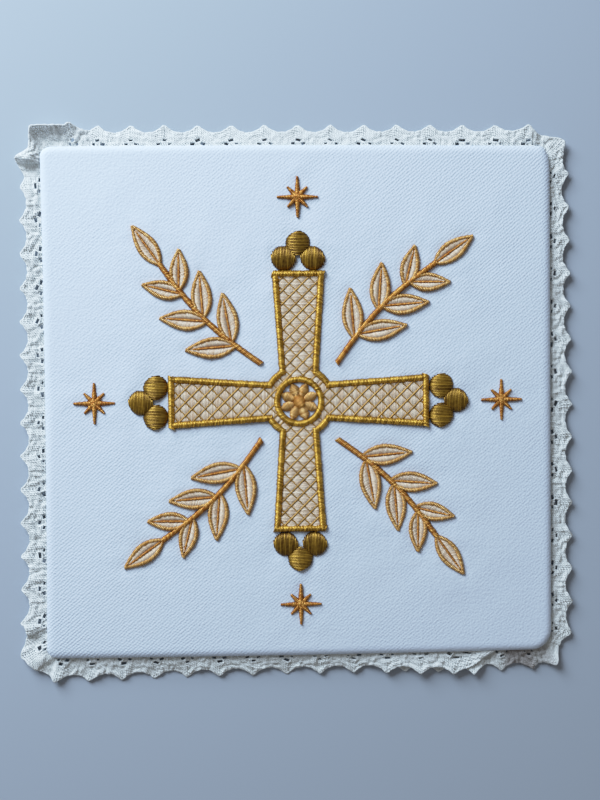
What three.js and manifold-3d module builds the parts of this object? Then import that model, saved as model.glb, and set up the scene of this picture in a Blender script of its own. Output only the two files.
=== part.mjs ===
// A chalice pall: a stiff square of white twill with a narrow lace sewn into its seam and raised gold embroidery.
// Millimetres, +Z up. The pall lies on its back. +Y is the top of the embroidered face, and the origin is the
// middle of the whole footprint, on the surface that the pall rests on.
import * as THREE from "three";
import { mergeVertices } from "three/addons/utils/BufferGeometryUtils.js";
import Module from "manifold-3d";

const wasm = await Module();
wasm.setup();

// Driving dimensions of the covered panel
const PANEL_SIDE = 160;
const PANEL_THICK = 4.2;
const HALF = PANEL_SIDE / 2;

// The cloth bulges over a seam that is drawn in all round, where the lace is sewn
const SEAM_INSET = 1.0;
const PANEL_PROFILE = [
  { z: 0, inset: 1.5 },
  { z: 0.4, inset: SEAM_INSET },
  { z: 2.8, inset: SEAM_INSET },
  { z: 3.0, inset: 0.3 },
  { z: 3.25, inset: 0 },
  { z: 3.6, inset: 0.15 },
  { z: 3.95, inset: 0.7 },
  { z: PANEL_THICK, inset: 1.8 },
];

// The four sides counter-clockwise from the bottom, each with how far it bows out, and the corner after it
const SIDES = [
  { out: [0, -1], bow: 0.4, corner: { at: [1, -1], rx: 6.3, ry: 6.6 } },
  { out: [1, 0], bow: 0.0, corner: { at: [1, 1], rx: 3.2, ry: 7.5 } },
  { out: [0, 1], bow: 0.3, corner: { at: [-1, 1], rx: 3.8, ry: 3.0 } },
  { out: [-1, 0], bow: -0.6, corner: { at: [-1, -1], rx: 3.2, ry: 3.0 } },
];
const SIDE_STEPS = 6;
const CORNER_STEPS = 5;

// Gap left between pieces that touch
const GAP = 0.3;

// Lace edging: one strip with a scalloped outer edge, its ends lapped near the right end of the bottom side.
// Where it lies single, its edge waves up and down a little.
const LACE_THICK = 1.0;
const LACE_COLUMNS_PER_REPEAT = 6;
const LACE_ROWS = [0, 0.55, 1];
const SCALLOP_POWER = 2.2;
const EASE = 0.08;
const WAVES = [
  { height: 0.22, repeats: 3.7 },
  { height: 0.12, repeats: 1.6 },
];
const WAVES_SPAN = { from: 3.5, to: 64.2 };

// The strip, station by station. repeat counts the lace's own repeats, with a peak at each whole number; side and
// along say where its foot is sewn; edgeX and edgeY are where its peaks reach; depth is how deep the scallops cut in.
const LACE_STATIONS = [
  { repeat: 0.7, side: 0, along: 30, edgeX: 30, edgeY: -86.9, seamZ: 0.66, edgeZ: 0.66, depth: 2.4 },
  { repeat: 2.8, side: 0, along: 52.5, edgeX: 53.4, edgeY: -87.9, seamZ: 0.66, edgeZ: 0.7, depth: 2.4 },
  { repeat: 3.4, side: 0, along: 59, edgeX: 59, edgeY: -87.9, seamZ: 1.3, edgeZ: 2.3, depth: 2.8 },
  { repeat: 4, side: 0, along: 64.4, edgeX: 64.4, edgeY: -87.3, seamZ: 1.6, edgeZ: 1.8, depth: 2.6 },
  { repeat: 5, side: 0, along: 72.5, edgeX: 74.8, edgeY: -86.8, seamZ: 1.6, edgeZ: 1.1, depth: 2.2 },
  { repeat: 5.5, side: 0, along: 75.5, edgeX: 78.6, edgeY: -85.9, seamZ: 1.6, edgeZ: 1.4, depth: 1.4 },
  { repeat: 6, side: 0, along: 77.4, edgeX: 82.4, edgeY: -85.3, seamZ: 1.6, edgeZ: 2.6, depth: 0.4 },
  { repeat: 6.4, side: 1, along: -77, edgeX: 82.9, edgeY: -80.2, seamZ: 1.6, edgeZ: 1.2, depth: 0.4 },
  { repeat: 7, side: 1, along: -73, edgeX: 87.1, edgeY: -75.6, seamZ: 1.6, edgeZ: 1.5, depth: 1.8 },
  { repeat: 8, side: 1, along: -64.5, edgeX: 87.3, edgeY: -65.0, seamZ: 1.6, edgeZ: 1.7, depth: 2.4 },
  { repeat: 14, side: 1, along: -1.7, edgeX: 87.5, edgeY: -1.7, seamZ: 1.6, edgeZ: 1.5, depth: 2.4 },
  { repeat: 21, side: 1, along: 70.5, edgeX: 86.4, edgeY: 71.4, seamZ: 1.6, edgeZ: 1.8, depth: 2.4 },
  { repeat: 22, side: 1, along: 76.5, edgeX: 85.1, edgeY: 82.3, seamZ: 1.6, edgeZ: 2.3, depth: 0.5 },
  { repeat: 22.5, side: 2, along: -77.5, edgeX: 77.6, edgeY: 83.8, seamZ: 1.6, edgeZ: 1.3, depth: 0.4 },
  { repeat: 23, side: 2, along: -73.4, edgeX: 73.8, edgeY: 87.0, seamZ: 1.6, edgeZ: 2.2, depth: 2.0 },
  { repeat: 30, side: 2, along: -0.4, edgeX: 0.4, edgeY: 87.2, seamZ: 1.6, edgeZ: 1.6, depth: 2.5 },
  { repeat: 36, side: 2, along: 62.4, edgeX: -62.4, edgeY: 87.0, seamZ: 1.6, edgeZ: 1.9, depth: 2.5 },
  { repeat: 37, side: 2, along: 69.5, edgeX: -70.8, edgeY: 87.4, seamZ: 1.6, edgeZ: 4.0, depth: 1.4 },
  { repeat: 37.33, side: 2, along: 71.5, edgeX: -73.8, edgeY: 86.2, seamZ: 1.6, edgeZ: 4.8, depth: 0 },
  { repeat: 38.17, side: 2, along: 76.8, edgeX: -82.6, edgeY: 86.1, seamZ: 1.6, edgeZ: 5.2, depth: 0 },
  { repeat: 38.83, side: 3, along: -77.2, edgeX: -83.1, edgeY: 79.2, seamZ: 1.6, edgeZ: 3.6, depth: 0 },
  { repeat: 39.33, side: 3, along: -75.6, edgeX: -87.9, edgeY: 76.5, seamZ: 1.6, edgeZ: 3.8, depth: 0 },
  { repeat: 39.67, side: 3, along: -71.8, edgeX: -85.1, edgeY: 71.9, seamZ: 1.6, edgeZ: 1.6, depth: 0 },
  { repeat: 40, side: 3, along: -68, edgeX: -86.5, edgeY: 67.8, seamZ: 1.6, edgeZ: 1.4, depth: 2.2 },
  { repeat: 47, side: 3, along: 6, edgeX: -87.5, edgeY: -6.0, seamZ: 1.6, edgeZ: 1.3, depth: 2.8 },
  { repeat: 53, side: 3, along: 68.5, edgeX: -88.1, edgeY: -69.0, seamZ: 1.6, edgeZ: 1.5, depth: 2.8 },
  { repeat: 54, side: 3, along: 75.8, edgeX: -88.8, edgeY: -79.9, seamZ: 1.6, edgeZ: 1.2, depth: 1.4 },
  { repeat: 54.33, side: 3, along: 77.3, edgeX: -84.9, edgeY: -83.2, seamZ: 1.6, edgeZ: 2.2, depth: 0 },
  { repeat: 54.67, side: 4, along: -77.0, edgeX: -80.8, edgeY: -85.0, seamZ: 1.6, edgeZ: 1.6, depth: 0 },
  { repeat: 55, side: 4, along: -75, edgeX: -78.2, edgeY: -88.3, seamZ: 1.6, edgeZ: 1.0, depth: 2.4 },
  { repeat: 60, side: 4, along: -26.0, edgeX: -26.0, edgeY: -87.4, seamZ: 1.6, edgeZ: 1.5, depth: 2.6 },
  { repeat: 64.4, side: 4, along: 21, edgeX: 21, edgeY: -86.9, seamZ: 1.6, edgeZ: 1.7, depth: 2.5 },
  { repeat: 65, side: 4, along: 27.4, edgeX: 27.4, edgeY: -87.1, seamZ: 1.95, edgeZ: 2.2, depth: 2.5 },
  { repeat: 67, side: 4, along: 48.9, edgeX: 48.9, edgeY: -87.8, seamZ: 2.05, edgeZ: 2.3, depth: 2.4 },
  { repeat: 67.45, side: 4, along: 53.4, edgeX: 52.6, edgeY: -86.2, seamZ: 2.05, edgeZ: 2.5, depth: 1.6 },
];

// Embroidery: raised bars and fills that stand on the face
const STITCH_FLOOR = PANEL_THICK + GAP;
const OUTLINE_WIDE = 1.9;
const OUTLINE_HIGH = 1.0;
const FILL_HIGH = 0.45;

// The cross: four flaring arms on a round middle
const ARM_LONG = 40;
const ARM_HALF_AT_MIDDLE = 4.5;
const ARM_HALF_AT_END = 7.2;
const MIDDLE_RADIUS = 10.5;
const MIDDLE_ARC_STEPS = 5;

// The round middle holds a sewn ring and, inside that, a domed rosette
const RING_RADIUS = 7;
const ROSETTE_RADIUS = 5.7;
const ROSETTE_HIGH = 0.9;
const ROUND_STEPS = 24;

// Each arm ends in three padded buds
const BUD_RADIUS = 3.8;
const BUD_HIGH = 1.3;
const BUD_STEPS = 14;
const BUDS = [
  { beyond: 4.9, aside: -4.6 },
  { beyond: 9.5, aside: 0 },
  { beyond: 4.9, aside: 4.6 },
];

// A leafy spray lies on each diagonal: a bowed stem with three pairs of leaves and one at its tip
const STEM = { start: 17, end: 61, bow: 2.4, wide: 1.6, high: 0.8, steps: 7 };
const LEAF_HIGH = 0.9;
const LEAF_STEPS = 5;
const LEAF_FULLEST = 0.85;
const LEAVES = [
  { from: 26.4, turn: 42, long: 15.5, wide: 6.0 },
  { from: 28, turn: -42, long: 15.5, wide: 6.0 },
  { from: 38.1, turn: 40, long: 14.5, wide: 5.8 },
  { from: 39.7, turn: -40, long: 14.5, wide: 5.8 },
  { from: 49.6, turn: 38, long: 12.5, wide: 5.2 },
  { from: 51.2, turn: -38, long: 12.5, wide: 5.2 },
];
const TIP_LEAF = { long: 14.5, wide: 5.6 };

// A small star with four long and four short points stands past the end of each arm
const STAR = { distance: 64, high: 0.8, turns: [6.2, 1.5, 4.2, 1.5] };

// Materials
const COVER_CLOTH = new THREE.MeshStandardMaterial({ color: 0xe6eef6, roughness: 0.85, metalness: 0 });
const LACE_COTTON = new THREE.MeshStandardMaterial({ color: 0xeef2ee, roughness: 0.95, metalness: 0 });
const OLD_GOLD = new THREE.MeshStandardMaterial({ color: 0xb5892a, roughness: 0.45, metalness: 0.15 });
const BRONZE_GOLD = new THREE.MeshStandardMaterial({ color: 0x7c5e1c, roughness: 0.45, metalness: 0.15 });
const PALE_GOLD = new THREE.MeshStandardMaterial({ color: 0xd9bd85, roughness: 0.5, metalness: 0.1 });
const AMBER = new THREE.MeshStandardMaterial({ color: 0xc78a3e, roughness: 0.5, metalness: 0.1 });

const pall = new THREE.Group();

function addPiece(name, geometry, material) {
  const piece = new THREE.Mesh(geometry, material);
  piece.name = name;
  pall.add(piece);
}

const mix = (a, b, t) => a + (b - a) * t;

// A closed three.js geometry as a solid that can be joined to others, and back
function solidFrom(geometry) {
  const bare = geometry.clone();
  bare.deleteAttribute("normal");
  bare.deleteAttribute("uv");
  const merged = mergeVertices(bare, 1e-4);
  return new wasm.Manifold(
    new wasm.Mesh({
      numProp: 3,
      vertProperties: new Float32Array(merged.attributes.position.array),
      triVerts: new Uint32Array(merged.index.array),
    }),
  );
}

function geometryFrom(solid) {
  const mesh = solid.getMesh();
  const geometry = new THREE.BufferGeometry();
  geometry.setAttribute("position", new THREE.BufferAttribute(new Float32Array(mesh.vertProperties), 3));
  geometry.setIndex(new THREE.BufferAttribute(new Uint32Array(mesh.triVerts), 1));
  return geometry;
}

const joined = (geometries) =>
  geometryFrom(geometries.map(solidFrom).reduce((whole, next) => whole.add(next)));

// A flat shape raised from the embroidery's floor
function raised(shape, high) {
  const geometry = new THREE.ExtrudeGeometry(shape, { depth: high, bevelEnabled: false });
  return geometry.translate(0, 0, STITCH_FLOOR);
}

const shapeOf = (points) => new THREE.Shape(points.map(([x, y]) => new THREE.Vector2(x, y)));

const turned = ([x, y], angle) => [
  x * Math.cos(angle) - y * Math.sin(angle),
  x * Math.sin(angle) + y * Math.cos(angle),
];

// Panel outline at an inset, counter-clockwise from the bottom left corner. Each point is [x, y].
function panelOutline(inset) {
  const points = [];
  const cornerEnds = ({ at: [sx, sy], rx, ry }) => ({
    beside: [sx * (HALF - inset), sy * (HALF - ry)],
    above: [sx * (HALF - rx), sy * (HALF - inset)],
  });
  SIDES.forEach(({ out, bow, corner }, k) => {
    const before = cornerEnds(SIDES[(k + 3) % 4].corner);
    const after = cornerEnds(corner);
    const level = out[0] === 0 ? "above" : "beside";
    const [from, to] = [before[level], after[level]];
    for (let j = 0; j < SIDE_STEPS; j += 1) {
      const t = j / SIDE_STEPS;
      const swell = bow * 4 * t * (1 - t);
      points.push([mix(from[0], to[0], t) + out[0] * swell, mix(from[1], to[1], t) + out[1] * swell]);
    }
    const { at, rx, ry } = corner;
    const start = Math.atan2(out[1], out[0]);
    for (let j = 0; j < CORNER_STEPS; j += 1) {
      const angle = start + (j / CORNER_STEPS) * (Math.PI / 2);
      points.push([
        at[0] * (HALF - rx) + (rx - inset) * Math.cos(angle),
        at[1] * (HALF - ry) + (ry - inset) * Math.sin(angle),
      ]);
    }
  });
  return points;
}

// Closed rings of equal length, lofted from the lowest to the highest and capped flat
function loftedSolid(rings) {
  const count = rings[0].length;
  const positions = rings.flat(2);
  const index = [];
  for (let r = 0; r + 1 < rings.length; r += 1) {
    for (let i = 0; i < count; i += 1) {
      const j = (i + 1) % count;
      const [a, b, c, d] = [r * count + i, r * count + j, (r + 1) * count + j, (r + 1) * count + i];
      index.push(a, b, c, a, c, d);
    }
  }
  const last = (rings.length - 1) * count;
  const flat = (ring) => ring.map(([x, y]) => new THREE.Vector2(x, y));
  for (const [a, b, c] of THREE.ShapeUtils.triangulateShape(flat(rings[0]), [])) {
    index.push(a, c, b);
  }
  for (const [a, b, c] of THREE.ShapeUtils.triangulateShape(flat(rings.at(-1)), [])) {
    index.push(last + a, last + b, last + c);
  }
  const geometry = new THREE.BufferGeometry();
  geometry.setAttribute("position", new THREE.Float32BufferAttribute(positions, 3));
  geometry.setIndex(index);
  return geometry;
}

// The covered panel
const panelRings = PANEL_PROFILE.map(({ z, inset }) => panelOutline(inset).map(([x, y]) => [x, y, z]));
addPiece("pall_panel", loftedSolid(panelRings), COVER_CLOTH);

// The seam that the lace is sewn along, with the distance run so far at each of its points
const seam = panelOutline(SEAM_INSET - GAP);
const seamRun = [0];
for (let i = 0; i < seam.length; i += 1) {
  const [x0, y0] = seam[i];
  const [x1, y1] = seam[(i + 1) % seam.length];
  seamRun.push(seamRun[i] + Math.hypot(x1 - x0, y1 - y0));
}
const seamLong = seamRun.at(-1);
const sideMiddle = SIDES.map((_, k) => seamRun[k * (SIDE_STEPS + CORNER_STEPS) + SIDE_STEPS / 2]);

function seamPoint(run) {
  const wrapped = ((run % seamLong) + seamLong) % seamLong;
  const i = seamRun.findLastIndex((r) => r <= wrapped) % seam.length;
  const t = (wrapped - seamRun[i]) / (seamRun[i + 1] - seamRun[i]);
  const next = seam[(i + 1) % seam.length];
  return [mix(seam[i][0], next[0], t), mix(seam[i][1], next[1], t)];
}

// The stations with each foot as a distance run along the seam
const stations = LACE_STATIONS.map(({ side, along, ...rest }) => ({
  ...rest,
  run: sideMiddle[side % 4] + along + (side === 4 ? seamLong : 0),
}));

function stationAt(repeat) {
  const clamped = Math.min(Math.max(repeat, stations[0].repeat), stations.at(-1).repeat);
  const i = Math.max(0, stations.findIndex((s) => s.repeat >= clamped) - 1);
  const [from, to] = [stations[i], stations[i + 1]];
  const t = (clamped - from.repeat) / (to.repeat - from.repeat);
  return Object.fromEntries(Object.keys(from).map((key) => [key, mix(from[key], to[key], t)]));
}

// A station eased over its neighbours, so that the strip turns softly
function easedStation(repeat) {
  const near = [repeat - EASE, repeat, repeat + EASE].map(stationAt);
  return Object.fromEntries(
    Object.keys(near[0]).map((key) => [key, near.reduce((sum, s) => sum + s[key], 0) / near.length]),
  );
}

// A point of the strip's middle surface: share is 0 at the foot and 1 at the scalloped edge
function lacePoint(repeat, share) {
  const { run, edgeX, edgeY, seamZ, edgeZ, depth } = easedStation(repeat);
  const [footX, footY] = seamPoint(run);
  const reach = Math.hypot(edgeX - footX, edgeY - footY);
  const phase = repeat - Math.floor(repeat);
  const bay = 1 - Math.abs(2 * phase - 1) ** SCALLOP_POWER;
  const out = share * (1 - (depth / reach) * bay);
  const single = repeat > WAVES_SPAN.from && repeat < WAVES_SPAN.to;
  const lifts = WAVES.map((w) => w.height * Math.sin((2 * Math.PI * repeat) / w.repeats));
  const lift = single ? share * (lifts[0] + lifts[1]) : 0;
  return [mix(footX, edgeX, out), mix(footY, edgeY, out), mix(seamZ, edgeZ, share) + lift];
}

// A strip of cloth of even thickness from a grid of middle points, closed all round
function stripSolid(grid, thick) {
  const rows = grid[0].length;
  const positions = [];
  for (const rise of [thick / 2, -thick / 2]) {
    for (const column of grid) {
      for (const [x, y, z] of column) positions.push(x, y, z + rise);
    }
  }
  const layer = grid.length * rows;
  const upper = (i, j) => i * rows + j;
  const lower = (i, j) => layer + i * rows + j;
  const index = [];
  const quad = (a, b, c, d) => index.push(a, b, c, a, c, d);
  for (let i = 0; i + 1 < grid.length; i += 1) {
    for (let j = 0; j + 1 < rows; j += 1) {
      quad(upper(i, j), upper(i, j + 1), upper(i + 1, j + 1), upper(i + 1, j));
      quad(lower(i, j), lower(i + 1, j), lower(i + 1, j + 1), lower(i, j + 1));
    }
    quad(upper(i, 0), upper(i + 1, 0), lower(i + 1, 0), lower(i, 0));
    quad(upper(i, rows - 1), lower(i, rows - 1), lower(i + 1, rows - 1), upper(i + 1, rows - 1));
  }
  const end = grid.length - 1;
  for (let j = 0; j + 1 < rows; j += 1) {
    quad(upper(0, j), lower(0, j), lower(0, j + 1), upper(0, j + 1));
    quad(upper(end, j), upper(end, j + 1), lower(end, j + 1), lower(end, j));
  }
  const geometry = new THREE.BufferGeometry();
  geometry.setAttribute("position", new THREE.Float32BufferAttribute(positions, 3));
  geometry.setIndex(index);
  return geometry;
}

// The lace edging, with a column of points at each peak and at even steps between
const firstColumn = Math.ceil(stations[0].repeat * LACE_COLUMNS_PER_REPEAT);
const lastColumn = Math.floor(stations.at(-1).repeat * LACE_COLUMNS_PER_REPEAT);
const laceGrid = [];
for (let c = firstColumn; c <= lastColumn; c += 1) {
  laceGrid.push(LACE_ROWS.map((share) => lacePoint(c / LACE_COLUMNS_PER_REPEAT, share)));
}
addPiece("lace_edging", stripSolid(laceGrid, LACE_THICK), LACE_COTTON);

// The cross's outline, moved outwards by an offset from the middle of its sewn line
function crossPath(offset) {
  const slope = (ARM_HALF_AT_END - ARM_HALF_AT_MIDDLE) / ARM_LONG;
  const half = ARM_HALF_AT_MIDDLE + offset;
  const radius = MIDDLE_RADIUS + offset;
  const a = 1 + slope * slope;
  const b = slope * half;
  const x0 = (-b + Math.sqrt(b * b - a * (half * half - radius * radius))) / a;
  const meet = Math.atan2(half + slope * x0, x0);
  const end = ARM_LONG + offset;
  const endHalf = half + slope * end;
  const points = [];
  for (let arm = 0; arm < 4; arm += 1) {
    const quarter = (arm * Math.PI) / 2;
    points.push(turned([end, -endHalf], quarter), turned([end, endHalf], quarter));
    for (let j = 0; j <= MIDDLE_ARC_STEPS; j += 1) {
      const angle = mix(meet, Math.PI / 2 - meet, j / MIDDLE_ARC_STEPS);
      points.push(turned([radius, 0], quarter + angle));
    }
  }
  return points;
}

function circlePath(radius, steps, [x, y] = [0, 0]) {
  return Array.from({ length: steps }, (_, i) => {
    const angle = (i / steps) * 2 * Math.PI;
    return [x + radius * Math.cos(angle), y + radius * Math.sin(angle)];
  });
}

function withHole(outer, inner) {
  const shape = shapeOf(outer);
  shape.holes.push(shapeOf(inner));
  return shape;
}

// The cross: a low lattice ground inside a raised sewn line, with a raised ring round its middle
const crossGround = raised(withHole(crossPath(0), circlePath(RING_RADIUS, ROUND_STEPS)), FILL_HIGH);
const crossLine = raised(withHole(crossPath(OUTLINE_WIDE / 2), crossPath(-OUTLINE_WIDE / 2)), OUTLINE_HIGH);
const crossRing = raised(
  withHole(
    circlePath(RING_RADIUS + OUTLINE_WIDE / 2, ROUND_STEPS),
    circlePath(RING_RADIUS - OUTLINE_WIDE / 2, ROUND_STEPS),
  ),
  OUTLINE_HIGH,
);
addPiece("cross", joined([crossGround, crossLine, crossRing]), OLD_GOLD);

// A low dome on the embroidery's floor
const DOME_PROFILE = [
  { out: 0, up: 0 },
  { out: 1, up: 0 },
  { out: 1, up: 0.35 },
  { out: 0.72, up: 0.82 },
  { out: 0, up: 1 },
];

function dome(radius, high, steps) {
  const profile = DOME_PROFILE.map(({ out, up }) => new THREE.Vector2(radius * out, high * up));
  const geometry = new THREE.LatheGeometry(profile, steps);
  return geometry.rotateX(Math.PI / 2).translate(0, 0, STITCH_FLOOR);
}

addPiece("rosette", dome(ROSETTE_RADIUS, ROSETTE_HIGH, ROUND_STEPS), PALE_GOLD);

// A leaf from its foot to its tip along +X, fullest a little before its middle
const leafPath = (long, wide) => {
  const upper = [];
  const lower = [];
  for (let i = 0; i <= LEAF_STEPS; i += 1) {
    const t = i / LEAF_STEPS;
    const half = (wide / 2) * Math.sin(Math.PI * t ** LEAF_FULLEST);
    lower.push([long * t, -half]);
    if (i > 0 && i < LEAF_STEPS) upper.unshift([long * t, half]);
  }
  return [...lower, ...upper];
};

const stemPoint = (r) => [
  r,
  STEM.bow * Math.sin((Math.PI * (r - STEM.start)) / (STEM.end - STEM.start)),
];

const stemSlope = (r) =>
  Math.atan(
    ((STEM.bow * Math.PI) / (STEM.end - STEM.start)) *
      Math.cos((Math.PI * (r - STEM.start)) / (STEM.end - STEM.start)),
  );

function leafOnStem(from, turn, long, wide) {
  const angle = stemSlope(from) + THREE.MathUtils.degToRad(turn);
  const [x, y] = stemPoint(from);
  return leafPath(long, wide).map((p) => {
    const [dx, dy] = turned(p, angle);
    return [x + dx, y + dy];
  });
}

function stemPath() {
  const upper = [];
  const lower = [];
  for (let i = 0; i <= STEM.steps; i += 1) {
    const [x, y] = stemPoint(mix(STEM.start, STEM.end + 1, i / STEM.steps));
    lower.push([x, y - STEM.wide / 2]);
    upper.unshift([x, y + STEM.wide / 2]);
  }
  return [...lower, ...upper];
}

// Buds, sprays and stars, one of each for every quarter turn
const quarterNames = ["right", "top", "left", "bottom"];
const diagonalNames = ["top_right", "top_left", "bottom_left", "bottom_right"];

for (let k = 0; k < 4; k += 1) {
  const quarter = (k * Math.PI) / 2;
  const buds = BUDS.map(({ beyond, aside }) =>
    dome(BUD_RADIUS, BUD_HIGH, BUD_STEPS)
      .translate(ARM_LONG + beyond, aside, 0)
      .rotateZ(quarter),
  );
  addPiece(`buds_${quarterNames[k]}`, joined(buds), BRONZE_GOLD);

  const leaves = LEAVES.map(({ from, turn, long, wide }) => leafOnStem(from, turn, long, wide));
  leaves.push(leafOnStem(STEM.end, 0, TIP_LEAF.long, TIP_LEAF.wide));
  const spray = [
    raised(shapeOf(stemPath()), STEM.high),
    ...leaves.map((leaf) => raised(shapeOf(leaf), LEAF_HIGH)),
  ].map((geometry) => geometry.rotateZ(quarter + Math.PI / 4));
  addPiece(`spray_${diagonalNames[k]}`, joined(spray), PALE_GOLD);

  const starPath = Array.from({ length: 4 * STAR.turns.length }, (_, i) => {
    const angle = (i / STAR.turns.length) * (Math.PI / 2);
    const radius = STAR.turns[i % STAR.turns.length];
    return [STAR.distance + radius * Math.cos(angle), radius * Math.sin(angle)];
  });
  addPiece(`star_${quarterNames[k]}`, raised(shapeOf(starPath), STAR.high).rotateZ(quarter), AMBER);
}

// The origin goes to the middle of the footprint
const footprint = new THREE.Box3().setFromObject(pall, true);
const middle = footprint.getCenter(new THREE.Vector3());
pall.position.set(-middle.x, -middle.y, 0);

export default pall;
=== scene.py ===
import math

import bmesh
import bpy
import numpy as np
from mathutils import Matrix, Vector, kdtree, noise


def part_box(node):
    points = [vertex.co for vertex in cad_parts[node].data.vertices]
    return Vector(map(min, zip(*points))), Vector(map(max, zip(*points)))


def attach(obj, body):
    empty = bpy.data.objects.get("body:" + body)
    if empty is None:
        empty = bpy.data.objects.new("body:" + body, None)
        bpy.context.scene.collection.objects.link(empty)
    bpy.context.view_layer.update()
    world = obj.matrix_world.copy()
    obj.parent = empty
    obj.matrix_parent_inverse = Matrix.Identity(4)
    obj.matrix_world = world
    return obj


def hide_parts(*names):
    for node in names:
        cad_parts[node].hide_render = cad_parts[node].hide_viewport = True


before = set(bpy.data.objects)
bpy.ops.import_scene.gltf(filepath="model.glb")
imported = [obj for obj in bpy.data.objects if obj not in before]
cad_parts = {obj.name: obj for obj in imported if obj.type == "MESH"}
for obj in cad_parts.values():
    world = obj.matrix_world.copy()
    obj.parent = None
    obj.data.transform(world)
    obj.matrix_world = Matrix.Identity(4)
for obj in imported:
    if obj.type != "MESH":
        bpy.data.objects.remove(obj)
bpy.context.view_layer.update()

# The covered square. A stiff board wrapped in bluish white cotton twill, closed by a seam that is drawn in
# all round. Its face is embroidered and the cloth dips along the sewing, so the sewing's lines come first
# and the cover itself follows them.
MM = 0.001
cloth_low, cloth_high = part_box("pall_panel")
HALF = (cloth_high.x - cloth_low.x) / 2 / MM
FACE = cloth_high.z / MM
SIDE_BOWS = {"bottom": 0.4, "right": 0.0, "top": 0.3, "left": -0.6}
PANEL_MIDDLE = np.array([
    (cloth_low.x + cloth_high.x) / 2 / MM,
    (cloth_low.y + cloth_high.y + (SIDE_BOWS["bottom"] - SIDE_BOWS["top"]) * MM) / 2 / MM,
    0.0,
])
CORNER_RADII = {(1, -1): (6.3, 6.6), (1, 1): (3.2, 7.5), (-1, 1): (3.8, 3.0), (-1, -1): (3.2, 3.0)}
FACE_INSET = 2.0
CLOTH_EDGE = [  # how far in from the widest outline, and how far up, from the face round to the underside
    (1.55, 4.01), (1.15, 3.9), (0.8, 3.75), (0.5, 3.57), (0.27, 3.37), (0.1, 3.2),
    (0.02, 3.08), (0.08, 2.98), (0.35, 2.88), (0.8, 2.8), (1.15, 2.6), (1.15, 1.0),
    (1.0, 0.7), (0.95, 0.4), (1.15, 0.12), (1.5, 0.0), (3.0, 0.0),
]
FACE_STEPS = 168
SEWING_STEP = 1.2  # how far apart the sewing's points are taken for the dip
SEWING_DIP = 0.2
FACE_CROWN = 0.12
FLAT_RIM = 6  # the face's dips and ripples fade out over this last stretch before its rim
TWILL_PITCH = 0.0009
TWILL_TURN = math.radians(41)
TWILL_DEEP = 0.00007

SATIN_WIDE = 1.9
ARM_LONG = 40.0
ARM_HALF = 4.5
ARM_FLARE = 2.7 / ARM_LONG
MIDDLE_RADIUS = 10.5
RING_RADIUS = 7.0
BUD_RADIUS = 3.8
BUD_SPOTS = [(4.9, -4.6), (9.5, 0.0), (4.9, 4.6)]
STEM_FROM, STEM_TO, STEM_BOW = 17.0, 61.0, 2.4
LEAVES = [  # foot along the stem, turn in degrees, length, width
    (26.4, 42, 15.5, 6.0), (28.0, -42, 15.5, 6.0), (38.1, 40, 14.5, 5.8), (39.7, -40, 14.5, 5.8),
    (49.6, 38, 12.5, 5.2), (51.2, -38, 12.5, 5.2), (61.0, 0, 14.5, 5.6),
]
STAR_AT = 64.0
STAR_POINTS = [6.2, 4.2]


def turned(points, angle):
    points = np.asarray(points, float)
    c, s = math.cos(angle), math.sin(angle)
    return np.column_stack([points[:, 0] * c - points[:, 1] * s, points[:, 0] * s + points[:, 1] * c])


def stem_point(r):
    swing = math.pi * (r - STEM_FROM) / (STEM_TO - STEM_FROM)
    return np.array([r, STEM_BOW * math.sin(swing)])


def stem_turn(r):
    swing = math.pi * (r - STEM_FROM) / (STEM_TO - STEM_FROM)
    return math.atan(STEM_BOW * math.pi / (STEM_TO - STEM_FROM) * math.cos(swing))


def leaf_half(t, wide):
    """Half the width of a leaf at a share of its length"""
    return wide / 2 * math.sin(math.pi * t ** 0.85)


def leaf_side(long, wide, hand, steps=14):
    """One edge of a leaf from foot to tip, along +X"""
    return np.array([[long * i / steps, hand * leaf_half(i / steps, wide)] for i in range(steps + 1)])


def on_leaf(points, leaf, quarter):
    foot, turn, _, _ = leaf
    grown = turned(points, stem_turn(foot) + math.radians(turn)) + stem_point(foot)
    return turned(grown, quarter + math.pi / 4)


def cross_lines():
    """The runs of the cross's outline: each arm's two sides and end, and the arc before the next arm"""
    a, b = 1 + ARM_FLARE ** 2, ARM_FLARE * ARM_HALF
    near = (-b + math.sqrt(b * b - a * (ARM_HALF ** 2 - MIDDLE_RADIUS ** 2))) / a
    meet = math.atan2(ARM_HALF + ARM_FLARE * near, near)
    end_half = ARM_HALF + ARM_FLARE * ARM_LONG
    lap = SATIN_WIDE * 0.42
    runs = []
    for arm in range(4):
        quarter = arm * math.pi / 2
        for hand in (-1, 1):
            side = [(near - 0.3, hand * (ARM_HALF + ARM_FLARE * near)), (ARM_LONG, hand * end_half)]
            runs.append(turned(side, quarter))
        runs.append(turned([(ARM_LONG, -end_half - lap), (ARM_LONG, end_half + lap)], quarter))
        arc = np.linspace(meet, math.pi / 2 - meet, 9)
        runs.append(turned(np.column_stack([np.cos(arc), np.sin(arc)]) * MIDDLE_RADIUS, quarter))
    return runs


def spread(run, step):
    """The same line with its points an even step apart"""
    run = np.asarray(run, float)
    gone = np.concatenate([[0], np.cumsum(np.linalg.norm(np.diff(run, axis=0), axis=1))])
    count = max(2, round(gone[-1] / step) + 1)
    at = np.linspace(0, gone[-1], count)
    return np.column_stack([np.interp(at, gone, run[:, k]) for k in range(run.shape[1])])


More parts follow.
